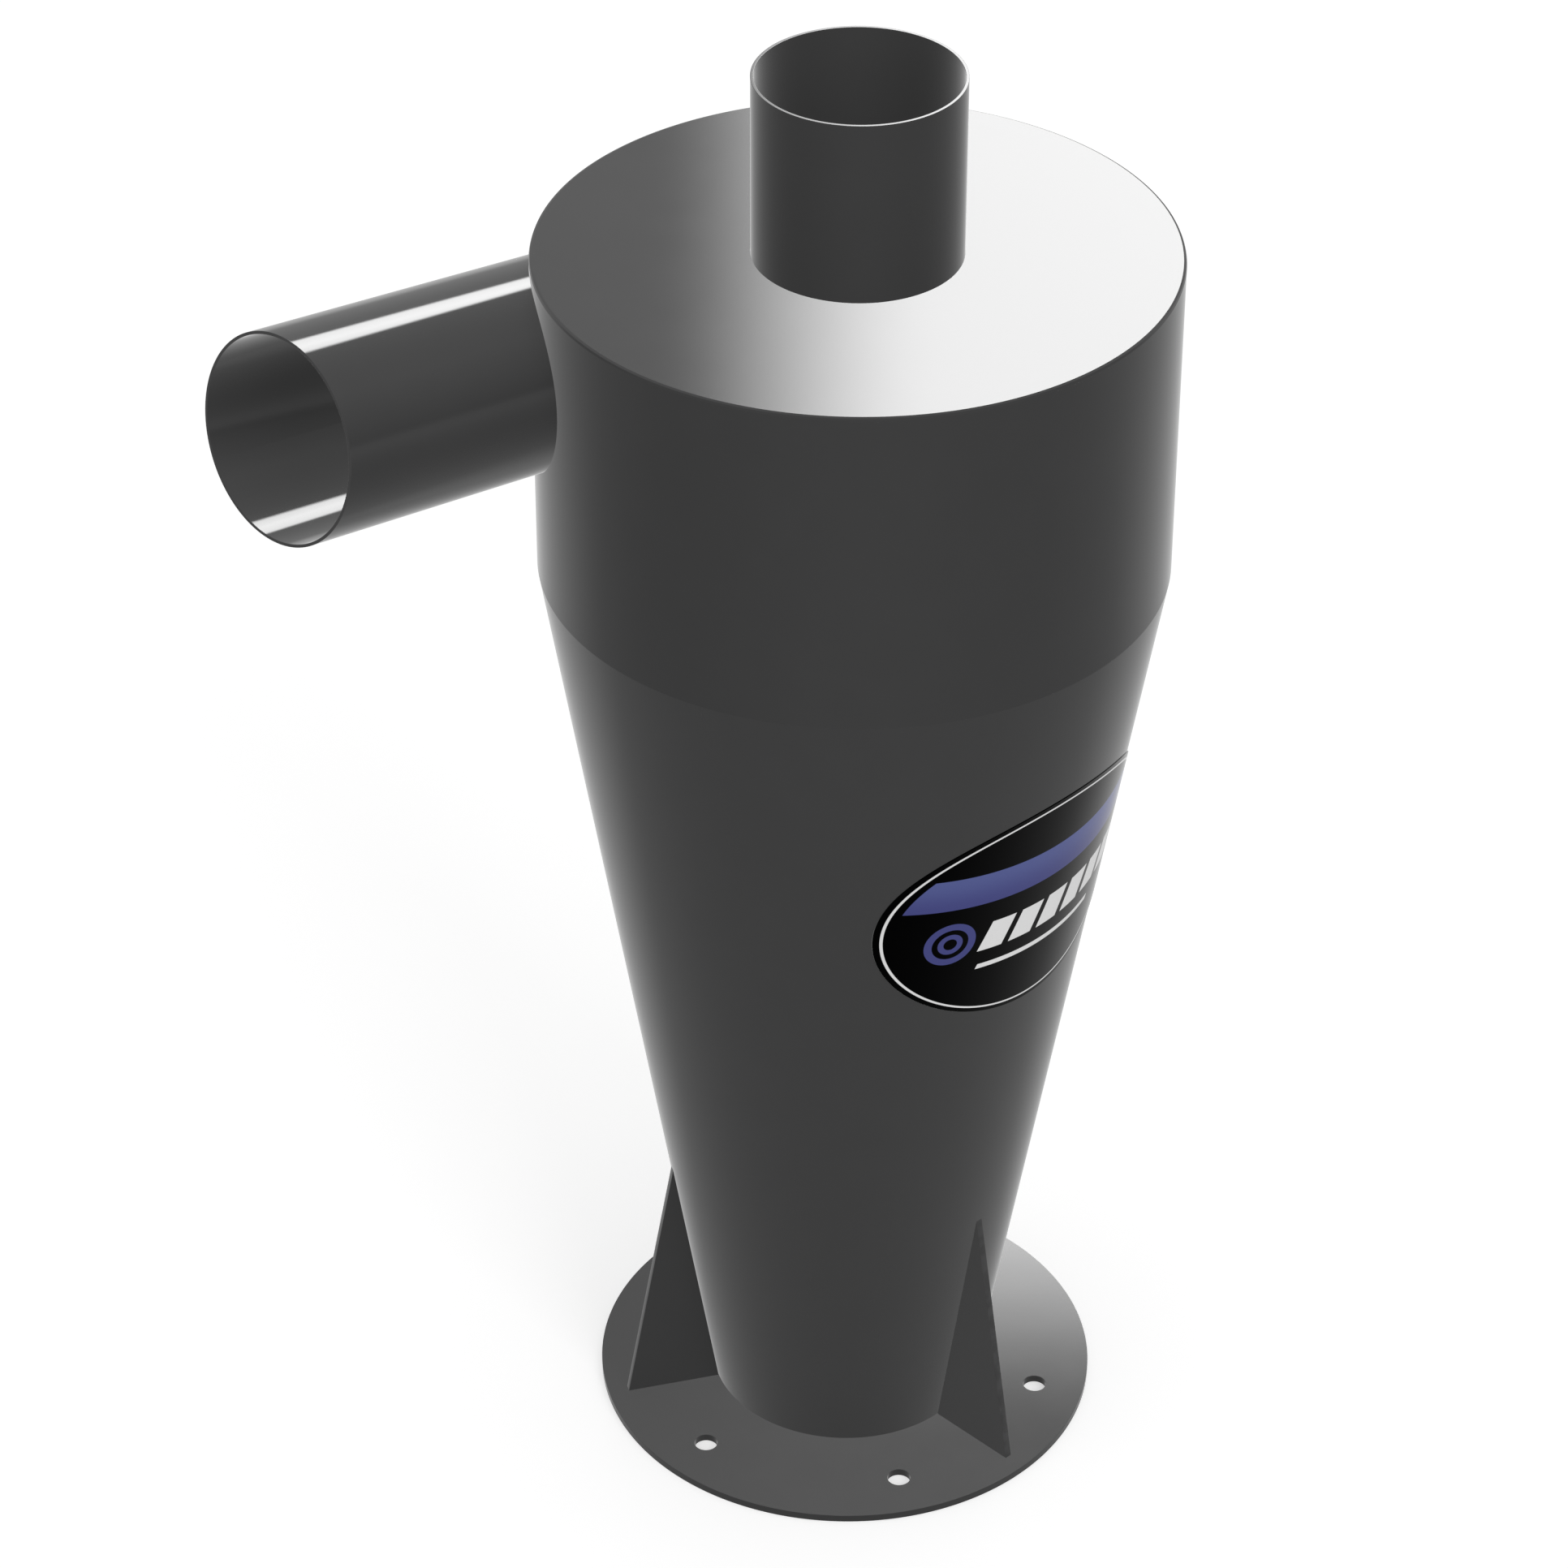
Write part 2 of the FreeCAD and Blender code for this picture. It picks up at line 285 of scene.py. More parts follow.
class Nodes:
    """The nodes of one finish, or of the world."""

    def __init__(self, tree):
        self.tree = tree

    def set(self, node, key, number):
        """Sets one socket of a node, or links a changing value to it."""
        if isinstance(number, Value):
            self.tree.links.new(number.socket, node.inputs[key])
        else:
            node.inputs[key].default_value = number

    def add(self, kind, settings=None, inputs=None, output=0):
        """Adds a node: its settings first, then the numbers, colours or links of its sockets."""
        node = self.tree.nodes.new(kind)
        for key, setting in (settings or {}).items():
            setattr(node, key, setting)
        for key, number in (inputs or {}).items():
            self.set(node, key, number)
        return Value(self, node.outputs[output])

    def noise(self, place, size, detail, seed):
        """Soft noise between 0 and 1 whose blotches are about as wide as size."""
        inputs = {"Vector": place, "W": seed, "Scale": 1 / size, "Detail": detail}
        return self.add("ShaderNodeTexNoise", {"noise_dimensions": "4D"}, inputs)

    def step(self, value, low, high):
        """0 below low, 1 above high, and a smooth rise between them."""
        inputs = {"Value": value, "From Min": low, "From Max": high}
        return self.add("ShaderNodeMapRange", {"interpolation_type": "SMOOTHSTEP"}, inputs)

    def between(self, value, low, high, soft):
        """1 between low and high and 0 outside, with smooth fades of a half width over both."""
        return self.step(value, low - soft, low + soft) * (1 - self.step(value, high - soft, high + soft))

    def mix(self, share, first, second):
        """The first colour where share is 0, and the second where it is 1.

        The node's sockets 6 and 7 and its output 2 are the ones for colours.
        """
        return self.add("ShaderNodeMix", {"data_type": "RGBA"}, {0: share, 6: first, 7: second}, 2)

    def bump(self, height):
        """The surface's direction under a relief whose height is in metres."""
        return self.add("ShaderNodeBump", inputs={"Strength": 1.0, "Distance": 1.0, "Height": height})


def new_finish(name):
    """An empty finish, its nodes and its main shader."""
    finish = bpy.data.materials.new(name)
    finish.use_nodes = True
    return finish, Nodes(finish.node_tree), finish.node_tree.nodes["Principled BSDF"]


# Powder coat: its greys where it covers well, where it is thin and where a cut edge shows through
COAT_GREY = (0.0205, 0.0205, 0.0208, 1)
COAT_GREY_THIN = (0.0235, 0.0235, 0.0239, 1)
COAT_GREY_EDGE = (0.060, 0.060, 0.062, 1)

# How much of the thin and of the edge's grey comes in at most, and over which part of their noise
THIN_MOST = 0.5
THIN_OVER = (0.3, 0.8)
WORN_MOST = 0.4
WORN_OVER = (0.35, 0.65)

# The coat's mirror strength and roughness, and how much rougher it is in blotches and on worn edges
COAT_SPECULAR = 0.50
COAT_ROUGH = 0.05
BLOTCH_ROUGH = 0.02
WORN_ROUGH = 0.08

# The noises in the coat, each as its size, its detail and its seed
BLOTCHES = (0.022, 3.0, 7.0)
WORN_SPOTS = (BLOTCHES[0] / 3, 2.0, 11.0)
PEEL = (0.0016, 2.0, 0.0)
WAVES = (0.05, 1.0, 3.0)

# The heights of the fine ripple and of the long waves in the coat
PEEL_HEIGHT = 0.0000012
WAVE_HEIGHT = 0.000012


def powder_coat():
    """Black coat with a fine ripple, a slightly uneven gloss, and less cover on the cut edges."""
    finish, nodes, shader = new_finish("powder_coat")
    place = nodes.add("ShaderNodeTexCoord", output="Object")
    blotch = nodes.noise(place, *BLOTCHES)
    edge = nodes.add("ShaderNodeAttribute", {"attribute_name": "edge"}, output="Fac")
    worn = edge * nodes.step(nodes.noise(place, *WORN_SPOTS), *WORN_OVER)
    grey = nodes.mix(nodes.step(blotch, *THIN_OVER) * THIN_MOST, COAT_GREY, COAT_GREY_THIN)
    nodes.set(shader, "Base Color", nodes.mix(worn * WORN_MOST, grey, COAT_GREY_EDGE))
    nodes.set(shader, "Roughness", COAT_ROUGH + BLOTCH_ROUGH * blotch + WORN_ROUGH * worn)
    peel = nodes.noise(place, *PEEL)
    wave = nodes.noise(place, *WAVES)
    nodes.set(shader, "Normal", nodes.bump(peel * PEEL_HEIGHT + wave * WAVE_HEIGHT))
    nodes.set(shader, "Specular IOR Level", COAT_SPECULAR)
    return finish


# Label film: its inks
INK_BLACK = (0.0008, 0.0008, 0.0009, 1)
INK_WHITE = (0.84, 0.84, 0.84, 1)
INK_BLUE = (0.104, 0.125, 0.32, 1)
INK_BLUE_DEEP = (0.070, 0.076, 0.24, 1)

# The film's roughness, how much its grain adds and how much the white ink takes off, and the grain as its
# size, its detail and its seed
FILM_ROUGH = 0.34
GRAIN_ROUGH = 0.06
WHITE_SMOOTH = 0.05
FILM_GRAIN = (PEEL[0] / 2, 2.0, 0.0)

# The film is dull where it faces the eye. A gloss of this roughness comes in over a range of slants.
GLOSS_ROUGH = 0.08
GLOSS_SLANT = (0.26, 0.95)

# The print on the flat pattern: the oval line's place, as a share of the oval, and its width, and half the
# width of the fade at an edge of the print
LINE_SHARE = 0.955
LINE_WIDTH = 0.0013
PRINT_EDGE = 0.00012

# A row of white bars: how many, where the first one starts, their width, spacing and heights, and how far
# they lean
BAR_COUNT = 6
BAR_START = -0.035
BAR_WIDTH = 0.014
BAR_STEP = 0.018
BAR_HEIGHTS = (-0.018, 0.000)
BAR_LEAN = 0.35

# All white marks as start, end, low and high: the bars, and the thin line below them
BAR_STARTS = [BAR_START + BAR_STEP * place for place in range(BAR_COUNT)]
WHITE_MARKS = [(start, start + BAR_WIDTH, *BAR_HEIGHTS) for start in BAR_STARTS]
WHITE_MARKS.append((-0.030, 0.052, -0.030, -0.027))

# The blue band's heights and how far out it reaches, and the middle and radii of two blue rings
BLUE_BAND = (0.014, 0.034)
BLUE_REACH = 0.90
RINGS_MIDDLE = (-0.057, -0.009)
BLUE_RINGS = [(0.0035, 0.0065), (0.0095, 0.0135)]


def label_film(half_width, half_height):
    """Printed film: a black oval with a white line inside its edge, and bars and rings of white and blue.

    The flat pattern's middle is at half of both of its coordinates. The white line is where the distance
    from the middle, in shares of the oval's own reach, is near its share. A white mark is where a point
    lies between two heights and between two leaning ends, and a ring where its distance from the rings'
    middle is between two radii. The blue band lies between two heights, inside a share of the oval.
    """
    finish, nodes, shader = new_finish("label_film")
    pattern = nodes.add("ShaderNodeUVMap", {"uv_map": "flat_pattern"})
    split = nodes.add("ShaderNodeSeparateXYZ", inputs={"Vector": pattern})
    right, up = split.output("X") * 2 - 1, split.output("Y") * 2 - 1
    across, along = right * half_width, up * half_height
    reach = (right * right + up * up) ** 0.5
    scale = (half_width + half_height) / 2

    def between(value, low, high):
        return nodes.between(value, low, high, PRINT_EDGE)

    white = between((reach - LINE_SHARE) * scale, -LINE_WIDTH / 2, LINE_WIDTH / 2)
    leaning = across - along * BAR_LEAN
    for start, end, low, high in WHITE_MARKS:
        white = white + between(leaning, start, end) * between(along, low, high)
    inside = 1 - nodes.step((reach - BLUE_REACH) * scale, -PRINT_EDGE, PRINT_EDGE)
    blue = between(along, *BLUE_BAND) * inside
    aside, above = across - RINGS_MIDDLE[0], along - RINGS_MIDDLE[1]
    for ring in BLUE_RINGS:
        blue = blue + between((aside * aside + above * above) ** 0.5, *ring)
    shade = nodes.mix(nodes.step(along, *BLUE_BAND), INK_BLUE_DEEP, INK_BLUE)
    ink = nodes.mix(blue, INK_BLACK, shade)
    nodes.set(shader, "Base Color", nodes.mix(white, ink, INK_WHITE))
    grain = nodes.noise(nodes.add("ShaderNodeTexCoord", output="Object"), *FILM_GRAIN)
    nodes.set(shader, "Roughness", FILM_ROUGH + GRAIN_ROUGH * grain - WHITE_SMOOTH * white)
    nodes.set(shader, "Normal", nodes.bump(grain * PEEL_HEIGHT))
    slant = nodes.add("ShaderNodeLayerWeight", output="Facing")
    nodes.set(shader, "Specular IOR Level", 0.0)
    nodes.set(shader, "Coat Weight", nodes.step(slant, *GLOSS_SLANT))
    nodes.set(shader, "Coat Roughness", GLOSS_ROUGH)
    return finish


# Pieces


def make_cone():
    """Rolled cone: its section is a leaning sheet, level at its foot and at the seam."""
    corners = [
        (FOOT_INNER, FLANGE_TOP, 0),
        (FOOT_OUTER, FLANGE_TOP, 0),
        (BARREL_OUTER, SEAM, 0),
        (SEAM_INNER, SEAM, 0),
    ]
    return make_piece("cone_sheet", "cone", coat, [turned(rounded(corners))])


def distance_in(turn, radius, wall):
    """How far in from the inlet's mouth a line of a tube on its axis reaches a wall round the upright axis.

    The line lies at an angle round the tube and at the tube's radius. Its place across the object is the
    mouth's plus the radius times the cosine of the angle, which gives its depth on the wall by Pythagoras,
    and the way along the tube follows from the depth.
    """
    across = INLET_MOUTH[1] + radius * np.cos(turn)
    depth = -np.sqrt(wall**2 - across**2)
    start = INLET_MOUTH[0] + radius * np.sin(turn) * INLET_UP[0]
    return (start - depth) / INLET_WAY[0]


def inlet_point(turn, radius, distance):
    """Points at angles round the inlet's axis, distances from it and distances in from the mouth."""
    turn, radius, distance = (part[..., None] for part in np.broadcast_arrays(turn, radius, distance))
    ring = np.cos(turn) * INLET_SIDE + np.sin(turn) * INLET_UP
    return INLET_MOUTH + radius * ring - distance * INLET_WAY


def make_inlet():
    """Straight tube whose section at the mouth is carried round its axis.

    Its far end lies on the outside of the barrel.
    """
    corners = [
        (INLET_BORE, 0, SOFT),
        (INLET_OUTER, 0, SOFT),
        (INLET_OUTER, FAR_END, 0),
        (INLET_BORE, FAR_END, 0),
    ]
    radius, distance, edge = rounded(corners).T
    turn = full_turn(AROUND)
    on_barrel = distance_in(turn, radius, BARREL_OUTER)
    distance = np.where(distance == FAR_END, on_barrel, distance)
    grid = {"points": inlet_point(turn, radius, distance), "edge": edge, "round": True, "ring": True}
    return make_piece("inlet_duct", "inlet_tube", coat, [grid])


def wall_lines(wall):
    """The upright lines of one wall of the barrel: their angles, and where their two parts end.

    The first lines cross the opening, spaced by equal angles round the inlet's bore, and there the lower
    and the upper part end on the bore. The others share out the rest of the circle, and there both parts
    end on a slant from one side of the opening to the other.
    """
    bore_turn = np.linspace(0, math.pi, OPENING_STEPS + 1)
    low = inlet_point(-bore_turn, INLET_BORE, distance_in(-bore_turn, INLET_BORE, wall))
    high = inlet_point(bore_turn, INLET_BORE, distance_in(bore_turn, INLET_BORE, wall))
    turn = np.arctan2(low[:, 1], low[:, 0])
    rest = np.linspace(0, 1, AROUND - OPENING_STEPS + 1)[1:-1]
    rest_turn = turn[-1] + rest * (turn[0] + 2 * math.pi - turn[-1])
    slant = low[-1, 2] + rest * (low[0, 2] - low[-1, 2])
    lower = np.concatenate([low[:, 2], slant])
    upper = np.concatenate([high[:, 2], slant])
    return np.concatenate([turn, rest_turn]), lower, upper


def make_barrel():
    """Rolled cylinder in a lower and an upper part, which meet on a slant and leave the inlet's opening.

    Each strip runs from one edge to another along the wall's upright lines.
    """
    edges = {}
    for side, wall in (("outer", BARREL_OUTER), ("inner", BARREL_INNER)):
        turn, lower, upper = wall_lines(wall)
        foot, top = np.full_like(turn, SEAM), np.full_like(turn, LID_LOW)
        heights = {"foot": foot, "low": lower, "high": upper, "top": top}
        edges[side] = {place: polar(turn, wall, height) for place, height in heights.items()}
    outer, inner = edges["outer"], edges["inner"]
    grids = []
    for wall in (outer, inner):
        grids.append({"points": np.stack([wall["foot"], wall["low"]], axis=1), "round": True})
        grids.append({"points": np.stack([wall["high"], wall["top"]], axis=1), "round": True})
    for place in ("foot", "top"):
        grids.append({"points": np.stack([outer[place], inner[place]], axis=1), "round": True})
    for place in ("low", "high"):
        grids.append({"points": np.stack([outer[place], inner[place]], axis=1)[: OPENING_STEPS + 1]})
    return make_piece("barrel_sheet", "barrel", coat, grids)


def make_lid():
    """Flat disc with the outlet's hole, whose top edge is broken in two flat strips.

    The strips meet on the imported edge's quarter circle, where it leans by half a right angle.
    """
    edge = BARREL_OUTER - LID_FLAT
    cut = edge * (1 - math.cos(math.pi / 4))
    corners = [
        (LID_HOLE, LID_LOW, 0),
        (BARREL_OUTER, LID_LOW, 0),
        (BARREL_OUTER, LID_TOP - edge, 0),
        (BARREL_OUTER - cut, LID_TOP - cut, 0),
        (LID_FLAT, LID_TOP, 0),
        (LID_HOLE, LID_TOP, 0),
    ]
    return make_piece("lid", "lid_plate", coat, [turned(rounded(corners))], CRISP_LID)


def make_outlet():
    """Straight tube through the lid, its rims rounded."""
    corners = [
        (OUTLET_BORE, OUTLET_LOW, SOFT),
        (OUTLET_OUTER, OUTLET_LOW, SOFT),
        (OUTLET_OUTER, OUTLET_RIM, SOFT),
        (OUTLET_BORE, OUTLET_RIM, SOFT),
    ]
    return make_piece("outlet_duct", "outlet_tube", coat, [turned(rounded(corners))])


def make_flange():
    """Flat ring in equal sectors, each drawn round its bolt hole, between a rounded outer and inner rim.

    In a sector, straight rays run from the hole to the sector's outline. The hole's section, from the top
    over the wall to the underside, is carried round the hole along the rays.
    """
    half = math.pi / BOLT_COUNT
    middle = (FLANGE_INNER + FLANGE_OUTER) / 2
    outer, inner = FLANGE_OUTER - SOFT - GUARD, FLANGE_INNER + SOFT + GUARD
    rim_steps = AROUND // BOLT_COUNT
    arc = np.linspace(-half, half, rim_steps + 1)
    side = np.linspace(outer, inner, SIDE_STEPS + 1)
    turns = [arc[:-1], np.full(SIDE_STEPS, half), arc[:0:-1], np.full(SIDE_STEPS, -half)]
    radii = [np.full(rim_steps, outer), side[:-1], np.full(rim_steps, inner), side[:0:-1]]
    outline = polar(np.concatenate(turns), np.concatenate(radii), 0)
    hole = np.array([BOLT_CIRCLE, 0, 0])
    ray = unit(outline - hole)[:, None, :]
    corners = [
        (FAR_END, FLANGE_TOP, 0),
        (BOLT_HOLE, FLANGE_TOP, SOFT),
        (BOLT_HOLE, 0, SOFT),
        (FAR_END, 0, 0),
    ]
    reach, up, edge = rounded(corners).T
    flat = np.where((reach == FAR_END)[:, None], outline[:, None, :], hole + reach[:, None] * ray)
    sector = flat + up[:, None] * np.array([0, 0, 1])
    grids = []
    for place in range(BOLT_COUNT):
        swing = np.array(Matrix.Rotation(2 * half * place, 3, "Z"))
        grids.append({"points": sector @ swing.T, "edge": edge, "round": True})
    for rim in (FLANGE_OUTER, FLANGE_INNER):
        corners = [(middle, FLANGE_TOP, 0), (rim, FLANGE_TOP, SOFT), (rim, 0, SOFT), (middle, 0, 0)]
        grids.append(turned(rounded(corners)[1:-1], ring=False))
    return make_piece("flange_plate", "base_flange", coat, grids)


def make_gusset(name, node):
    """Triangular plate with rounded edges: its outline drawn smaller and smaller towards both flat sides.

    A corner moves in along its bisector by the inset over the sine of half its angle. The inset grows and
    the distance from the plate's middle plane follows a quarter circle at each edge.
    """
    points = node_points(node)
    way = unit(points.mean(axis=0) * [1, 1, 0])
    side = np.array([-way[1], way[0], 0])
    across, up = points @ way, points[:, 2]
    foot = across[up < up.min() + SAME]
    corners = np.array([(foot.min(), up.min()), (foot.max(), up.min()), (across[up.argmax()], up.max())])
    back = unit(np.roll(corners, 1, 0) - corners)
    on = unit(np.roll(corners, -1, 0) - corners)
    half_angle = np.arccos((back * on).sum(axis=1)) / 2
    inward = unit(back + on) / np.sin(half_angle)[:, None]
    quarter = np.linspace(0, math.pi / 2, ARC_STEPS + 1)
    thick = np.abs(points @ side).max()
    inset = np.append(SOFT + GUARD, SOFT * (1 - np.sin(quarter)))
    offset = np.append(thick, thick - SOFT * (1 - np.cos(quarter)))
    edge = np.append(0, np.ones(ARC_STEPS + 1))
    inset, offset, edge = (np.append(part, part[::-1]) for part in (inset, offset, edge))
    offset[len(offset) // 2 :] *= -1
    outline = corners + inset[:, None, None] * inward
    outline = outline[..., :1] * way + outline[..., 1:] * np.array([0, 0, 1]) + offset[:, None, None] * side
    middle = np.repeat(outline.mean(axis=1, keepdims=True), 3, axis=1)
    outline = np.concatenate([middle[:1], outline, middle[-1:]])
    edge = np.concatenate([[0], edge, [0]])[:, None]
    grid = {"points": outline, "edge": edge, "ring": True}
    return make_piece(name, node, coat, [grid])


def make_label():
    """Oval film on the cone: rings of the oval on the cone's flat pattern, rolled up on the cone.

    A place on the flat pattern lies as far from the pattern's centre as from the cone's apex along the
    slant, and its swing from the middle is its angle round the axis times the sine of half the cone's
    angle. Near the oval's edge the film comes down to the cone on a quarter ellipse.
    """
    x, y, z = node_points("label").T
    radius, turn = np.hypot(x, y), np.arctan2(y, x)
    slant = radius * math.sin(TAPER) + (z - APEX) * math.cos(TAPER)
    lift = radius * math.cos(TAPER) - (z - APEX) * math.sin(TAPER)
    middle_turn = (turn.min() + turn.max()) / 2
    swing = (turn - middle_turn) * math.sin(TAPER)
    across, along = slant * np.sin(swing), slant * np.cos(swing)
    half_width = (across.max() - across.min()) / 2
    half_height = (along.max() - along.min()) / 2
    middle_along = (along.max() + along.min()) / 2

    flat_share = 1 - SOFT / half_height
    quarter = np.linspace(0, math.pi / 2, ARC_STEPS + 1)
    shares = np.linspace(0, flat_share, FILM_STEPS)
    top = np.append(shares, flat_share + (1 - flat_share) * np.sin(quarter[1:]))
    lifts = np.append(np.full_like(shares, lift.max()), lift.max() * np.cos(quarter[1:]))
    share = np.append(top, top[::-1])
    lift = np.append(lifts, np.zeros_like(lifts))
    ring = full_turn(AROUND)
    right, up = share * np.cos(ring), share * np.sin(ring)
    slant = np.hypot(right * half_width, middle_along + up * half_height)
    swing = np.arctan2(right * half_width, middle_along + up * half_height)
    radius = slant * math.sin(TAPER) + lift * math.cos(TAPER)
    height = APEX + slant * math.cos(TAPER) - lift * math.sin(TAPER)
    points = polar(middle_turn + swing / math.sin(TAPER), radius, height)
    pattern = np.stack([0.5 + right / 2, 0.5 + up / 2], axis=-1)
    grid = {"points": points, "flat": pattern, "round": True}
    film = label_film(half_width, half_height)
    return make_piece("label_print", "label", film, [grid])


coat = powder_coat()
make_flange()
make_cone()
make_barrel()
make_lid()
make_outlet()
make_inlet()
for place in ("front", "right", "left"):
    make_gusset("gusset_plate_" + place, "gusset_" + place)
make_label()


# Studio

# Plain colours that its finishes share
BLACK = (0, 0, 0, 1)
WHITE = (1, 1, 1, 1)

# Brightness of the surroundings where they light the object, against 1 where they are seen
SURROUND = 0.62

# The floor: its width, how far it is below the flange, its paint and roughness, and its glow where the
# camera sees it
FLOOR_WIDTH = 30.0
FLOOR_DROP = 0.0002
FLOOR_PAINT = (0.75, 0.75, 0.75, 1)
FLOOR_ROUGH = 0.9
FLOOR_GLOW = 0.54

# What gloss shows of the floor: its brightness under the object, how much it rises and then falls, and the
# distances over which it does
FLOOR_MIRRORED = 0.57
FLOOR_RISE = 0.23
FLOOR_RISE_OVER = (-0.4, 4.0)
FLOOR_FALL = 0.14
FLOOR_FALL_OVER = (4.5, 12.0)

# The strength of a brighter diagonal of it, and the distance at which that is brightest
DIAGONAL_BRIGHT = 0.80
DIAGONAL_PEAK = 1.0

# Two brighter fans of it, one along x and one along y: how much brighter they are, over which shares of
# the distance that lie along their own direction they come in, and over which distances they fade. The
# core keeps those shares small right under the object.
FAN_BRIGHT = (0.08, 0.12)
FAN_SPREAD = (0.75, 0.98)
FAN_FADE = (0.9, 1.35)
FAN_CORE = 0.01


def make_world():
    """Plain surroundings, white where they are seen and dimmer where they light the object."""
    world = bpy.data.worlds.new("surroundings")
    world.use_nodes = True
    bpy.context.scene.world = world
    nodes = Nodes(world.node_tree)
    sky = world.node_tree.nodes["Background"]
    path = nodes.add("ShaderNodeLightPath", output="Is Camera Ray")
    seen = path.math("MAXIMUM", path, path.output("Is Glossy Ray"))
    seen = path.math("MAXIMUM", seen, path.output("Is Transmission Ray"))
    nodes.set(sky, "Color", WHITE)
    nodes.set(sky, "Strength", SURROUND + (1 - SURROUND) * seen)


def make_floor():
    """Plain pale floor, whose paint keeps the shadow and whose glow lifts it to white where it is seen.

    Gloss shows it as a soft pale grey, which rises and then falls with the distance from the object. It is
    brighter on one diagonal, by x times y over the square of a sum, which is the distance squared plus the
    peak squared. It is also brighter in two fans, where nearly all of the distance lies along x or y.
    """
    half = FLOOR_WIDTH / 2
    mesh = bpy.data.meshes.new("floor")
    corners = [(-half, -half), (half, -half), (half, half), (-half, half)]
    mesh.from_pydata([(x, y, -FLOOR_DROP) for x, y in corners], [], [(0, 1, 2, 3)])
    finish, nodes, shader = new_finish("pale_floor")
    path = nodes.add("ShaderNodeLightPath", output="Is Camera Ray")
    seen = path.math("MAXIMUM", path, path.output("Is Transmission Ray"))
    mirrored = path.output("Is Glossy Ray")
    place = nodes.add("ShaderNodeTexCoord", output="Object")
    split = nodes.add("ShaderNodeSeparateXYZ", inputs={"Vector": place})
    x, y = split.output("X"), split.output("Y")
    square = x * x + y * y
    distance = square**0.5
    shown = FLOOR_MIRRORED + FLOOR_RISE * nodes.step(distance, *FLOOR_RISE_OVER)
    shown = shown - FLOOR_FALL * nodes.step(distance, *FLOOR_FALL_OVER)
    spread = square + DIAGONAL_PEAK**2
    shown = shown + DIAGONAL_BRIGHT * x * y / (spread * spread)
    fans = [nodes.step(part / (distance + FAN_CORE), *FAN_SPREAD) for part in (x, y)]
    near = 1 - nodes.step(distance, *FAN_FADE)
    shown = shown + (FAN_BRIGHT[0] * fans[0] + FAN_BRIGHT[1] * fans[1]) * near
    nodes.set(shader, "Base Color", nodes.mix(mirrored, FLOOR_PAINT, BLACK))
    nodes.set(shader, "Roughness", FLOOR_ROUGH)
    nodes.set(shader, "Specular IOR Level", 0.0)
    glow = FLOOR_GLOW * seen + shown * mirrored
    nodes.set(shader, "Emission Color", nodes.mix(glow, BLACK, WHITE))
    nodes.set(shader, "Emission Strength", 1.0)
    mesh.materials.append(finish)
    floor = bpy.data.objects.new("floor", mesh)
    bpy.context.scene.collection.objects.link(floor)


# Directions are azimuth and elevation in degrees, seen from the middle of the lid
LID_MIDDLE = Vector((0, 0, LID_TOP))

# Far dome that gloss shows: its distance, its foot and top, the steps it is drawn in, and the brightness
# of its brightest place, which the colours below are shares of
DOME_FAR = 300.0
DOME_UP = (-4.0, 86.0)
DOME_STEPS = (72, 18)
DOME_BRIGHT = 11.0

# The dome's plain part grows brighter from the horizon up to a height
HORIZON_SHARE = (0.0565, 0.0565, 0.0565, 1)
PLAIN_SHARE = (0.0945, 0.0945, 0.0945, 1)
PLAIN_UP = 34.0

# The bright field on it: its sides, its foot and top, and the half widths of its fades
FIELD_AROUND = (26.45, 44.6)
FIELD_UP = (24.4, 40.15)
FIELD_SOFT = (1.8, 1.3)

# The field is dimmest at its foot and full at FIELD_GROWTH above it. Each degree round from
# FIELD_LEAN_FROM, towards smaller azimuths, counts there as FIELD_LEAN of a degree up.
FIELD_FOOT_SHARE = (0.695, 0.695, 0.695, 1)
FIELD_GROWTH = 9.3
FIELD_LEAN = 0.25
FIELD_LEAN_FROM = 41.5

# The dim light above the field: its middle, and how far it reaches round and up
HALO_MIDDLE = (38.0, 52.0)
HALO_REACH = (27.0, 18.4)
HALO_SHARE = (0.2, 0.2, 0.2, 1)

# Lamp beside the camera: its direction, distance, width and brightness
LAMP_AROUND = -105.0
LAMP_UP = 22.0
LAMP_FAR = 5.0
LAMP_WIDTH = 2.4
LAMP_BRIGHT = 3.6


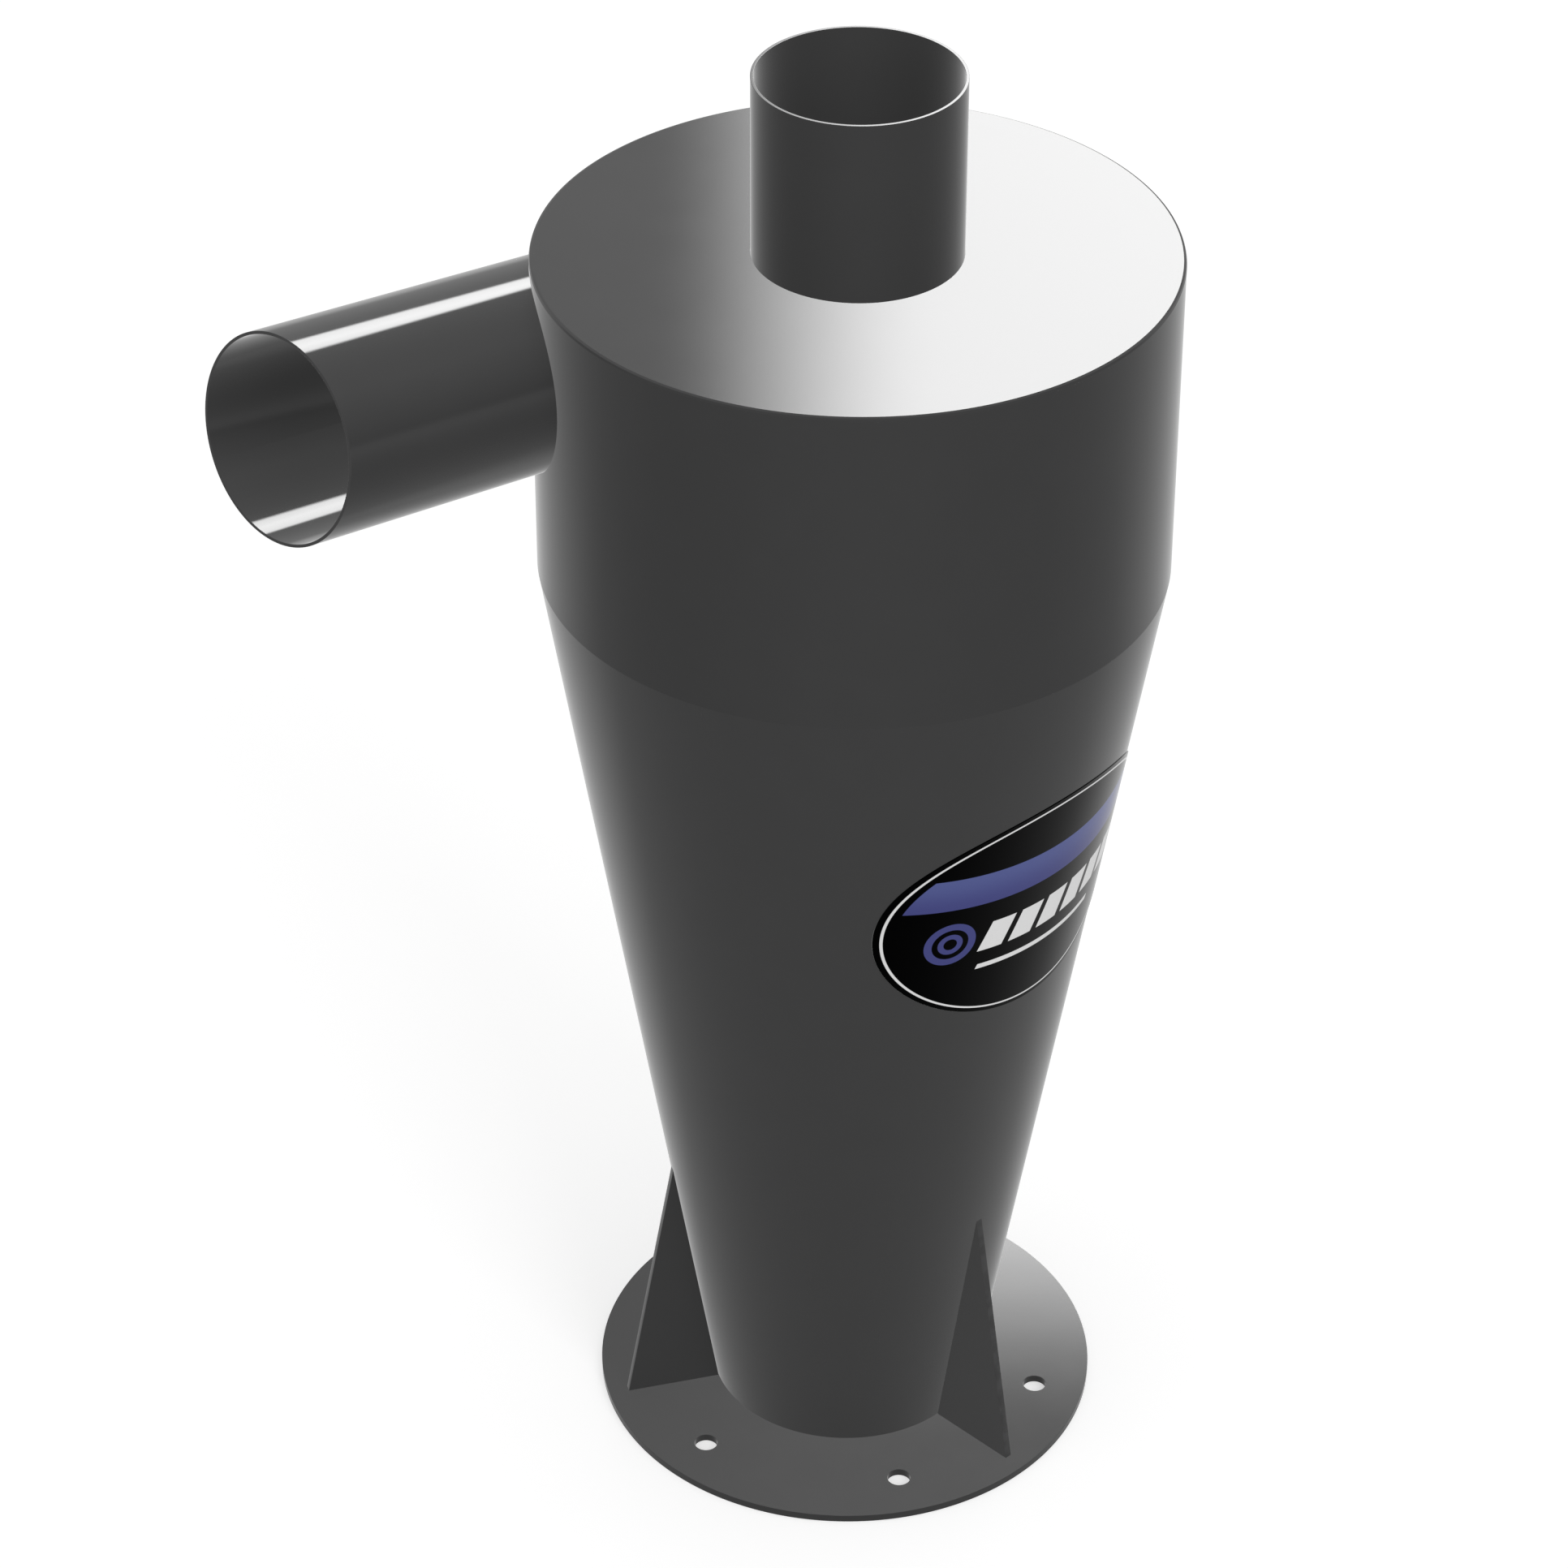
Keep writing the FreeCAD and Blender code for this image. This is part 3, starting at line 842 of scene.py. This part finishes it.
def make_dome():
    """The dome, whose points hold their azimuth and elevation. Nothing but gloss shows it.

    The field fades smoothly over its four sides, and the light above it with the distance from its middle.
    """
    azimuths = np.linspace(-180, 180, DOME_STEPS[0] + 1)[:, None]
    elevations = np.linspace(*DOME_UP, DOME_STEPS[1] + 1)[None, :]
    rise = np.radians(elevations)
    points = DOME_FAR * polar(np.radians(azimuths), np.cos(rise), np.sin(rise))
    rows, columns = points.shape[:2]
    mesh = bpy.data.meshes.new("dome")
    mesh.from_pydata(points.reshape(-1, 3), [], faces_of(rows, columns, False, False))
    for name, degrees in (("around", azimuths), ("up", elevations)):
        at_points = np.broadcast_to(degrees, (rows, columns)).ravel()
        mesh.attributes.new(name, "FLOAT", "POINT").data.foreach_set("value", at_points)

    finish, nodes, shader = new_finish("dome_glow")
    around = nodes.add("ShaderNodeAttribute", {"attribute_name": "around"}, output="Fac")
    up = nodes.add("ShaderNodeAttribute", {"attribute_name": "up"}, output="Fac")
    field = nodes.between(around, *FIELD_AROUND, FIELD_SOFT[0])
    field = field * nodes.between(up, *FIELD_UP, FIELD_SOFT[1])
    grown = (up - FIELD_UP[0] + FIELD_LEAN * (FIELD_LEAN_FROM - around)) / FIELD_GROWTH
    aside = (around - HALO_MIDDLE[0]) / HALO_REACH[0]
    above = (up - HALO_MIDDLE[1]) / HALO_REACH[1]
    halo = 1 - nodes.step((aside * aside + above * above) ** 0.5, 0, 1)
    plain = nodes.mix(up / PLAIN_UP, HORIZON_SHARE, PLAIN_SHARE)
    bright = nodes.mix(grown, FIELD_FOOT_SHARE, WHITE)
    nodes.set(shader, "Base Color", BLACK)
    nodes.set(shader, "Specular IOR Level", 0.0)
    nodes.set(shader, "Emission Color", nodes.mix(field, nodes.mix(halo, plain, HALO_SHARE), bright))
    nodes.set(shader, "Emission Strength", DOME_BRIGHT)
    finish.cycles.emission_sampling = "NONE"
    mesh.materials.append(finish)
    dome = bpy.data.objects.new("dome", mesh)
    dome.location = LID_MIDDLE
    dome.visible_camera = False
    dome.visible_diffuse = False
    dome.visible_shadow = False
    dome.visible_transmission = False
    bpy.context.scene.collection.objects.link(dome)


def make_lamp():
    """A square lamp that faces the lid, whose power is its brightness times pi times its area.

    Gloss doesn't show it.
    """
    light = bpy.data.lights.new("lamp", "AREA")
    light.size = LAMP_WIDTH
    light.energy = LAMP_BRIGHT * math.pi * LAMP_WIDTH**2
    lamp = bpy.data.objects.new("lamp", light)
    turn = Euler((0, -math.radians(LAMP_UP), math.radians(LAMP_AROUND))).to_matrix()
    way = turn @ Vector((1, 0, 0))
    lamp.location = LID_MIDDLE + way * LAMP_FAR
    lamp.rotation_euler = way.to_track_quat("Z", "Y").to_euler()
    lamp.visible_camera = False
    lamp.visible_glossy = False
    bpy.context.scene.collection.objects.link(lamp)


# Camera: where it stands, how far it looks down and round, how it is rolled, and its lens on a square
# picture of the default sensor's width
CAMERA_PLACE = (-1.5451, -1.4838, 1.8583)
CAMERA_DOWN = 34.714
CAMERA_ROUND = -45.262
CAMERA_ROLL = 0.166
CAMERA_LENS = 120.16


def make_camera():
    """The camera at the photograph's viewing angle."""
    camera = bpy.data.cameras.new("camera")
    camera.lens = CAMERA_LENS
    camera.clip_end = 2 * FLOOR_WIDTH
    stand = bpy.data.objects.new("camera", camera)
    turn = Euler((math.radians(90 - CAMERA_DOWN), 0, math.radians(CAMERA_ROUND))).to_matrix()
    stand.rotation_euler = (turn @ Matrix.Rotation(math.radians(CAMERA_ROLL), 3, "Z")).to_euler()
    stand.location = CAMERA_PLACE
    bpy.context.scene.collection.objects.link(stand)
    bpy.context.scene.camera = stand


make_world()
make_floor()
make_dome()
make_lamp()
make_camera()
bpy.context.scene.view_settings.view_transform = "Standard"

bpy.context.view_layer.update()
